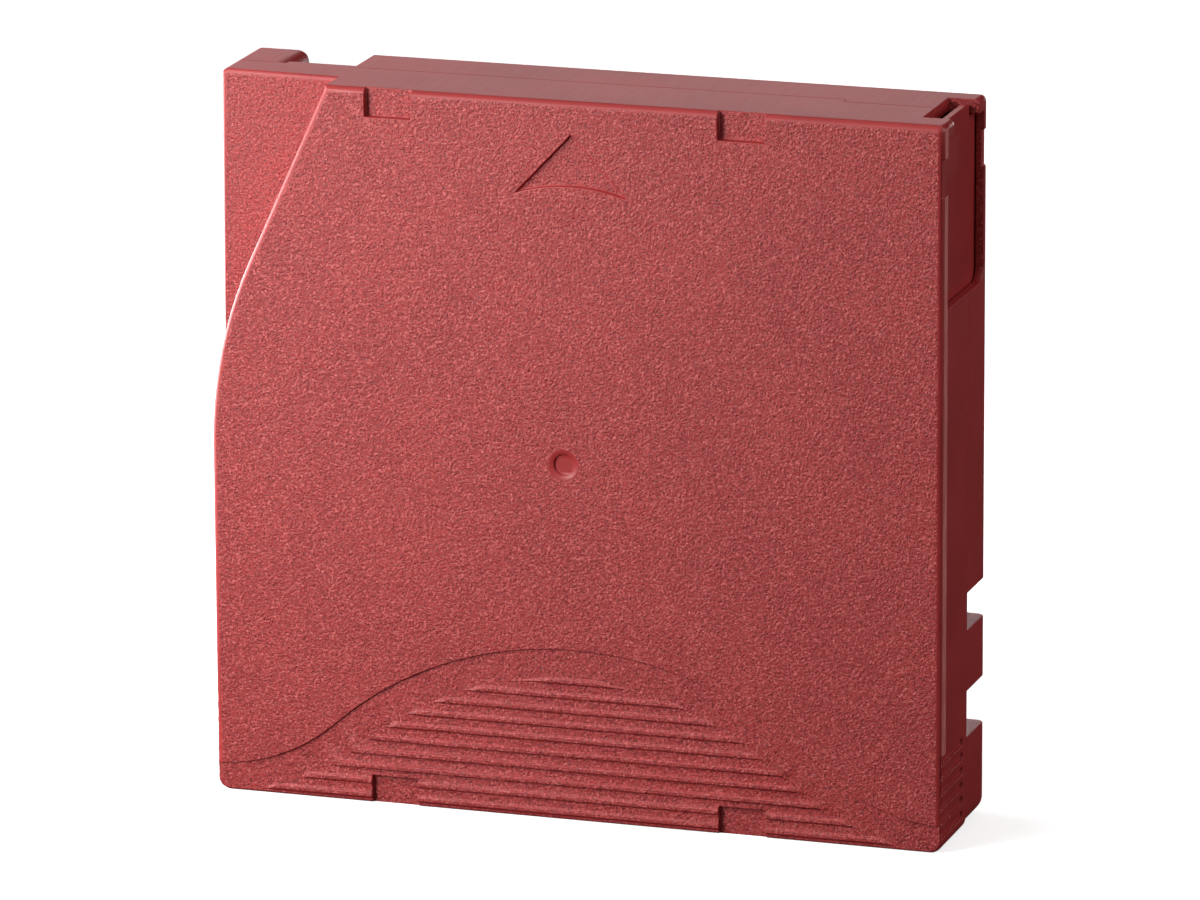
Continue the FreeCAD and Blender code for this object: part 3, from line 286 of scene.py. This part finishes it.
def board_laminate():
    """Green solder mask over woven glass laminate, weave 0.6 mm."""
    finish = Finish("memory_board_solder_mask", "1E4A33", 0.35)
    weave = finish.cells(0.6)
    cloud = finish.noise(1.5, 2.0)
    finish.colour(finish.mix(finish.ramp(cloud, 0.3, 0.7), "1A432E", "265A3F"))
    finish.bump(weave, 0.006)
    return finish.material


def painted_sheen_plastic():
    """The shell's outermost rim beside the door, painted paler than the shell to stand for the sheen
    of light on it, matt, with streaks of 0.6 mm drawn out along the rim."""
    finish = Finish("crimson_abs_painted_sheen_rim", "C86E6B", 0.62, Specular_IOR_Level=0.5)
    streaks = finish.noise(0.6, 3.0, place=finish.stretched(1.0, 1.0, 0.12))
    # painted sheen: the whole rim is coloured paler than the shell for the light it catches
    finish.colour(finish.mix(finish.ramp(streaks, 0.35, 0.65), "BC605E", "D07A76"))
    finish.roughness(streaks, 0.56, 0.7)
    finish.bump(streaks, 0.004)
    return finish.material


ERODED = eroded_plastic()
SATIN = satin_plastic()
# painted sheen on the rim beside the door
RIM_SHEEN = painted_sheen_plastic()
HUB = moulded("hub_glass_filled_polycarbonate", "D9D8D2", "C9C7C0", 0.46)
FLANGE = moulded("flange_polycarbonate", "DAD9D5", "CFCDC7", 0.3, 0.003)
BRAKE = moulded("brake_natural_acetal", "DEDCD2", "D0CDC2", 0.4)
PAD = moulded("release_pad_grey_acetal", "5E6166", "505358", 0.42)
TAB = moulded("write_tab_ivory_acetal", "CFCBBF", "BDB8AB", 0.4, 0.004)
CLIP = moulded("leader_clip_black_acetal", "242426", "1B1B1D", 0.38)
TAPE = wound_tape()
CLUTCH = turned_steel()
PIN = steel("leader_pin_ground_steel", "C2C3C4", 0.24, (1.0, 30.0, 1.0))
SPRING = steel("spring_drawn_stainless", "ACADAE", 0.3, (1.0, 1.0, 6.0))
SCREW = steel("screw_cold_headed_zinc", "9B9C9E", 0.36, (4.0, 1.0, 4.0), 0.003)
BOARD = board_laminate()


# ---------------------------------------------------------------- dressing of CAD nodes

FLAT_ANGLE, SHARP_ANGLE, RIM_ANGLE = 0.6, 35, 60    # degrees: level, to be softened, outer rim
FLAT_CORNERS = 5                        # a flat is found from a face with so many corners or more
SAME_WAY = 0.99998                      # cosine between the normals of one flat's faces
BROAD, SIDEWAYS = 0.97, 0.9             # how squarely a face looks along the depth, or to a side
SIDE_BAND = 0.2                         # faces this close to the right side belong to it
FACE_BAND = 0.02                        # faces this close to the main face belong to it
LEVEL, NEAR = 0.01, 0.05                # slack for a depth, and for a radius or an outline
EDGE_STEPS, RIM_STEPS = 2, 4            # segments across a small radius and a wide one
FLAT_WEIGHT = 80                        # how far the flats outweigh the radii in the shading
WIRE_EDGE = 0.03                        # edge radius at the ends of a coil's wire
# the third shell material paints sheen on the rim beside the door
GRAIN_SIDE, SATIN_SIDE, SHEEN_SIDE = range(3)      # order of the shells' materials


def finished(mesh, name, body, materials, node):
    """Makes a piece of a mesh that rides on a body and stands for a CAD node."""
    piece = bpy.data.objects.new(name, mesh)
    bpy.context.scene.collection.objects.link(piece)
    for material in materials:
        mesh.materials.append(material)
    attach(piece, body)
    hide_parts(node)
    return piece


def flat_regions(build):
    """The flats of a moulding: each a set of faces in one plane that share edges, with its normal."""
    taken, regions = set(), []
    for first in build.faces:
        if first in taken or len(first.verts) < FLAT_CORNERS:
            continue
        normal, corner = first.normal.copy(), first.verts[0].co.copy()
        region, waiting = {first}, [first]
        while waiting:
            for edge in waiting.pop().edges:
                for face in edge.link_faces:
                    if face in region or face in taken:
                        continue
                    off = max(abs((vert.co - corner).dot(normal)) for vert in face.verts)
                    if off < 2 * TOUCH * MM and face.normal.dot(normal) > SAME_WAY:
                        region.add(face)
                        waiting.append(face)
        taken |= region
        if sum(face.calc_area() for face in region) > MM ** 2:
            regions.append((region, normal))
    return regions


def fill_flats(build):
    """Fills every flat anew between its own rims, so that a softened edge leaves no folded face."""
    build.normal_update()
    for region, normal in flat_regions(build):
        around = [edge for face in region for edge in face.edges]
        edges = {edge: sum(face in region for face in edge.link_faces) for edge in around}
        material = next(iter(region)).material_index
        bmesh.ops.delete(build, geom=list(region), context="FACES_ONLY")
        for edge, sides in edges.items():
            if sides > 1 and not edge.link_faces:
                build.edges.remove(edge)
        rims = [edge for edge, sides in edges.items() if sides == 1]
        filled = bmesh.ops.triangle_fill(build, use_beauty=True, edges=rims, normal=normal)
        for face in filled["geom"]:
            if isinstance(face, bmesh.types.BMFace):
                face.normal_update()
                face.material_index = material
                if face.normal.dot(normal) < 0:
                    face.normal_flip()
    loose = [vert for vert in build.verts if not vert.link_faces]
    bmesh.ops.delete(build, geom=loose, context="VERTS")


def rounded(build, edges, width, segments):
    """Rounds edges to this many millimetres and fills the flats beside them anew."""
    bmesh.ops.bevel(
        build, geom=edges, offset=width * MM, offset_type="OFFSET", affect="EDGES", segments=segments,
        profile=0.5, material=-1, clamp_overlap=False)
    fill_flats(build)


def soften(build, width):
    """Breaks the sharp edges of a moulding with a small radius and leaves its flats flat."""
    least = math.radians(SHARP_ANGLE)
    sharp = [edge for edge in build.edges if edge.is_manifold and edge.calc_face_angle() > least]
    rounded(build, sharp, width, EDGE_STEPS)


def dressed(node, body, materials, width, choose=None, prepare=None, finish=None):
    """A welded copy of a CAD node's mesh with real edge radii, in the node's place and its box."""
    build = bmesh.new()
    build.from_mesh(nodes[node].data)
    bmesh.ops.remove_doubles(build, verts=build.verts, dist=TOUCH * MM)
    bmesh.ops.dissolve_limit(
        build, angle_limit=math.radians(FLAT_ANGLE), verts=build.verts, edges=build.edges)
    low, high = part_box(node)
    if prepare:
        prepare(build)
    soften(build, width)
    if finish:
        finish(build)
    for vert in build.verts:
        vert.co = [min(max(value, least), most) for value, least, most in zip(vert.co, low, high)]
    for face in build.faces:
        face.smooth = True
        face.material_index = choose(face) if choose else 0
    mesh = bpy.data.meshes.new(f"{node}_moulded")
    build.to_mesh(mesh)
    build.free()
    piece = finished(mesh, f"{node}_moulded", body, materials, node)
    level = piece.modifiers.new("level_flats", "WEIGHTED_NORMAL")
    level.weight = FLAT_WEIGHT
    return piece


def in_grip_field(point):
    """Whether a point lies in the sunk field with the grip ribs, or on them."""
    x, depth, z = where(point)
    inside = GRIP_SIDE < x < CASE_WIDTH - GRIP_SIDE and GRIP_FOOT < z < GRIP_TOP
    return depth < RELIEF + NEAR and inside


def in_dimple(x, z):
    """Whether a place on the main face lies in its round central dimple."""
    return math.hypot(x - REEL_X, z - REEL_Z) < DIMPLE_RADIUS + NEAR


def on_right_side(face):
    """Whether a face lies in the flat of the door side."""
    return face.normal.x > SIDEWAYS and where(face.calc_center_median())[0] > CASE_WIDTH - SIDE_BAND


def faces_out(face):
    """Eroded finish on the large faces and all over the grip field, a paler finish on the rim beside
    the door that paints the sheen of light there, satin in the central dimple and elsewhere."""
    centre = face.calc_center_median()
    x, depth, z = where(centre)
    if FACE_BAND < depth < DIMPLE_REACH and in_dimple(x, z):
        return SATIN_SIDE
    if abs(face.normal.y) > BROAD or (in_grip_field(centre) and z > GRIP_GRAIN_FOOT):
        return GRAIN_SIDE
    if on_right_side(face) and depth < RIM_DEPTH and z > RIM_FOOT:
        return SHEEN_SIDE
    return SATIN_SIDE


def move_rib_ends(build):
    """Sets the grip ribs a little higher and gives each its own length and sloping ends."""
    for vert in build.verts:
        x, depth, z = where(vert.co)
        number = min(max(round((z - RIB_FIRST) / RIB_PITCH), 0), len(RIB_ENDS) - 1)
        tip = RIB_TIPS[number] - RIB_MARGIN
        off = abs(z - RIB_FIRST - number * RIB_PITCH)
        if off > RIB_REACH or not in_grip_field(vert.co) or not tip < x < CASE_WIDTH - tip:
            continue
        vert.co.z += RIB_RISE * MM
        inwards = (RIB_ENDS[number] + (RIB_SLOPE if depth < RIB_TOP else 0.0)) * MM
        if x < tip + RIB_END_SPAN:
            vert.co.x += inwards
        elif x > CASE_WIDTH - tip - RIB_END_SPAN:
            vert.co.x -= inwards


def slope_dimple(build):
    """Turns the upright wall of the central dimple into a cone."""
    for vert in build.verts:
        x, depth, z = where(vert.co)
        radius = math.hypot(x - REEL_X, z - REEL_Z)
        if abs(depth - RELIEF) < LEVEL and abs(radius - DIMPLE_RADIUS) < NEAR:
            share = (DIMPLE_RADIUS - DIMPLE_SLOPE) / radius
            vert.co = at(REEL_X + (x - REEL_X) * share, depth, REEL_Z + (z - REEL_Z) * share)


def guide_rim(edge):
    """The outer rim of the insertion guide's plane, at its left side and its front."""
    if not all(abs(where(vert.co)[1] - GUIDE_STEP) < LEVEL for vert in edge.verts):
        return False
    return (edge.is_manifold and edge.is_convex
            and edge.calc_face_angle() > math.radians(RIM_ANGLE))


def prepare_upper(build):
    """Rib lengths, the dimple's cone and the guide's wide outer rim."""
    move_rib_ends(build)
    slope_dimple(build)
    rounded(build, [edge for edge in build.edges if guide_rim(edge)], GUIDE_RADIUS, RIM_STEPS)


def split_rim(build):
    """Parts the right side where the rim with painted sheen ends."""
    side = [face for face in build.faces if on_right_side(face)]
    parts = {part for face in side for part in (face, *face.edges, *face.verts)}
    bmesh.ops.bisect_plane(
        build, geom=list(parts), dist=TOUCH * MM, plane_co=at(0, RIM_DEPTH, 0),
        plane_no=(0.0, 1.0, 0.0))


def coil_spring(node):
    """A coil spring: a dressed copy of its node with a mesh of its own."""
    piece = dressed(node, "case", [SPRING], WIRE_EDGE)
    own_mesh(piece)


# the upper shell's third material paints sheen on the rim beside the door
dressed("upper_shell", "case", [ERODED, SATIN, RIM_SHEEN], SHELL_EDGE,
        faces_out, prepare_upper, split_rim)
dressed("lower_shell", "case", [ERODED, SATIN], SHELL_EDGE, faces_out)

# Each node of one finish: its body, its material, its edge radius and its slot.
for node, body, material, edge_radius, slot in (
    ("door", "door", SATIN, SHELL_EDGE, "shell_plastic"),
    ("write_protect_tab", "write_protect", TAB, 0.12, "tab_plastic"),
    ("reel_hub", "reel", HUB, 0.1, "hub_plastic"),
    ("upper_flange", "reel", FLANGE, 0.15, "flange_plastic"),
    ("tape_pack", "reel", TAPE, 0.05, "tape_film"),
    ("clutch_plate", "reel", CLUTCH, 0.12, "clutch_steel"),
    ("brake_disc", "brake", BRAKE, 0.06, "brake_plastic"),
    ("release_pad", "release", PAD, 0.12, "pad_plastic"),
    ("leader_pin", "case", PIN, 0.12, "pin_steel"),
    ("leader_clip", "case", CLIP, 0.1, "clip_plastic"),
    ("tape_leader", "case", TAPE, 0.01, "tape_film"),
    ("pin_spring", "case", SPRING, 0.05, "spring_steel"),
    ("memory_board", "case", BOARD, 0.04, "board_laminate"),
    ("case_screws", "case", SCREW, 0.1, "screw_steel"),
):
    dressed(node, body, [material], edge_radius)

coil_spring("door_spring")
coil_spring("brake_spring")


# ---------------------------------------------------------------- studio, in metres and watts

FLOOR_REACH, FLOOR_FRONT = 4.0, -3.0    # the sweep's half width, also its height, and its front end
BEND_START, BEND_RADIUS, BEND_STEP = 1.6, 0.9, 10   # where it curves up, how wide, degrees a facet
PAPER_GLOW = 0.68                       # brings lit paper up to white for the camera
WORLD_LIGHT = 0.18                      # the white room's light on the object
LENS, SENSOR = 269.85, 36.0             # millimetres
CAMERA_PLACE = (0.373056, -1.140607, 0.369134)
CAMERA_YAW, CAMERA_PITCH, CAMERA_ROLL = -18.09, -14.87, -0.30   # degrees


def studio_floor():
    """A wide pale sweep: a floor that curves up behind the object."""
    build = bmesh.new()
    profile = [(FLOOR_FRONT, 0.0), (BEND_START, 0.0)]
    for angle in range(BEND_STEP, 90 + BEND_STEP, BEND_STEP):
        turn = math.radians(angle)
        back = BEND_START + BEND_RADIUS * math.sin(turn)
        profile.append((back, BEND_RADIUS - BEND_RADIUS * math.cos(turn)))
    profile.append((BEND_START + BEND_RADIUS, FLOOR_REACH))
    line = [build.verts.new((-FLOOR_REACH, y, z)) for y, z in profile]
    edges = [build.edges.new(pair) for pair in zip(line, line[1:])]
    swept = bmesh.ops.extrude_edge_only(build, edges=edges)
    moved = [item for item in swept["geom"] if isinstance(item, bmesh.types.BMVert)]
    bmesh.ops.translate(build, verts=moved, vec=(2 * FLOOR_REACH, 0.0, 0.0))
    bmesh.ops.recalc_face_normals(build, faces=build.faces)
    mesh = bpy.data.meshes.new("studio_sweep")
    build.to_mesh(mesh)
    build.free()
    for face in mesh.polygons:
        face.use_smooth = True
    floor = bpy.data.objects.new("studio_sweep", mesh)
    bpy.context.scene.collection.objects.link(floor)
    return floor


def paper():
    """White seamless paper for the camera, dull for every other ray, so that it throws little
    white back onto the case."""
    material = bpy.data.materials.new("seamless_paper")
    material.use_nodes = True
    tree = material.node_tree
    shader = tree.nodes["Principled BSDF"]
    shader.inputs["Base Color"].default_value = srgb("F2F2F2")
    shader.inputs["Roughness"].default_value = 0.9
    shader.inputs["Specular IOR Level"].default_value = 0.1
    glow = tree.nodes.new("ShaderNodeEmission")
    glow.inputs["Strength"].default_value = PAPER_GLOW
    both = tree.nodes.new("ShaderNodeAddShader")
    tree.links.new(shader.outputs[0], both.inputs[0])
    tree.links.new(glow.outputs[0], both.inputs[1])
    dull = tree.nodes.new("ShaderNodeBsdfDiffuse")
    dull.inputs["Color"].default_value = srgb("3C3C3C")
    path = tree.nodes.new("ShaderNodeLightPath")
    choose = tree.nodes.new("ShaderNodeMixShader")
    tree.links.new(path.outputs["Is Camera Ray"], choose.inputs[0])
    tree.links.new(dull.outputs[0], choose.inputs[1])
    tree.links.new(both.outputs[0], choose.inputs[2])
    tree.links.new(choose.outputs[0], tree.nodes["Material Output"].inputs["Surface"])
    return material


def lamp(name, place, target, size, power):
    """A soft box of this width and height at a place, aimed at a target."""
    light = bpy.data.lights.new(name, "AREA")
    light.shape = "RECTANGLE"
    light.size, light.size_y = size
    light.energy = power
    holder = bpy.data.objects.new(name, light)
    bpy.context.scene.collection.objects.link(holder)
    holder.location = place
    holder.rotation_euler = (Vector(target) - Vector(place)).to_track_quat("-Z", "Y").to_euler()


def studio_world():
    """A white room: full white for the camera, metal and clear pieces, dimmer as light."""
    world = bpy.data.worlds.new("studio")
    bpy.context.scene.world = world
    world.use_nodes = True
    tree = world.node_tree
    dim = tree.nodes["Background"]
    dim.inputs["Color"].default_value = srgb("FFFFFF")
    dim.inputs["Strength"].default_value = WORLD_LIGHT
    white = tree.nodes.new("ShaderNodeBackground")
    white.inputs["Strength"].default_value = 1.0
    path = tree.nodes.new("ShaderNodeLightPath")
    seen = tree.nodes.new("ShaderNodeMath")
    seen.operation = "MAXIMUM"
    tree.links.new(path.outputs["Is Camera Ray"], seen.inputs[0])
    tree.links.new(path.outputs["Is Transmission Ray"], seen.inputs[1])
    shiny = tree.nodes.new("ShaderNodeMath")
    shiny.operation = "MAXIMUM"
    tree.links.new(seen.outputs[0], shiny.inputs[0])
    tree.links.new(path.outputs["Is Glossy Ray"], shiny.inputs[1])
    mix = tree.nodes.new("ShaderNodeMixShader")
    tree.links.new(shiny.outputs[0], mix.inputs[0])
    tree.links.new(dim.outputs[0], mix.inputs[1])
    tree.links.new(white.outputs[0], mix.inputs[2])
    tree.links.new(mix.outputs[0], tree.nodes["World Output"].inputs["Surface"])


def camera():
    """A long lens a little to the right and above, looking slightly down on the main face."""
    yaw, pitch, roll = (math.radians(turn) for turn in (CAMERA_YAW, CAMERA_PITCH, CAMERA_ROLL))
    level = math.cos(pitch)
    forward = Vector((math.sin(yaw) * level, math.cos(yaw) * level, math.sin(pitch)))
    right = Vector((math.cos(yaw), -math.sin(yaw), 0.0))
    up = right.cross(forward)
    side = right * math.cos(roll) + up * math.sin(roll)
    top = up * math.cos(roll) - right * math.sin(roll)
    data = bpy.data.cameras.new("camera")
    data.sensor_width = SENSOR
    data.lens = LENS
    data.clip_start, data.clip_end = 0.05, 20.0
    holder = bpy.data.objects.new("camera", data)
    bpy.context.scene.collection.objects.link(holder)
    turn = Matrix((side, top, -forward)).transposed().to_4x4()
    holder.matrix_world = Matrix.Translation(CAMERA_PLACE) @ turn
    bpy.context.scene.camera = holder


studio_floor().data.materials.append(paper())
studio_world()
lamp("key", (-0.38, -0.58, 0.50), (0.0, 0.0, 0.05), (0.3, 0.3), 1.5)
lamp("near", (-0.25, -0.21, 0.27), (-0.02, 0.0, 0.09), (0.14, 0.14), 0.85)
lamp("sheen", (-0.15, -0.23, 0.09), (-0.05, 0.0, 0.10), (0.05, 0.05), 0.37)
lamp("card", (-0.26, 0.085, 0.065), (0.0, 0.085, 0.065), (0.30, 0.12), 1.05)
lamp("fill", (0.75, 0.1, 0.35), (0.05, 0.0, 0.05), (0.5, 0.5), 1.85)
lamp("rim", (-0.40, 1.10, 0.41), (0.0, 0.0, 0.1), (0.6, 0.4), 0.95)
lamp("back", (0.0, 0.70, 0.04), (0.0, 0.0, 0.05), (0.3, 0.06), 0.8)
camera()
bpy.context.scene.view_settings.view_transform = "Standard"
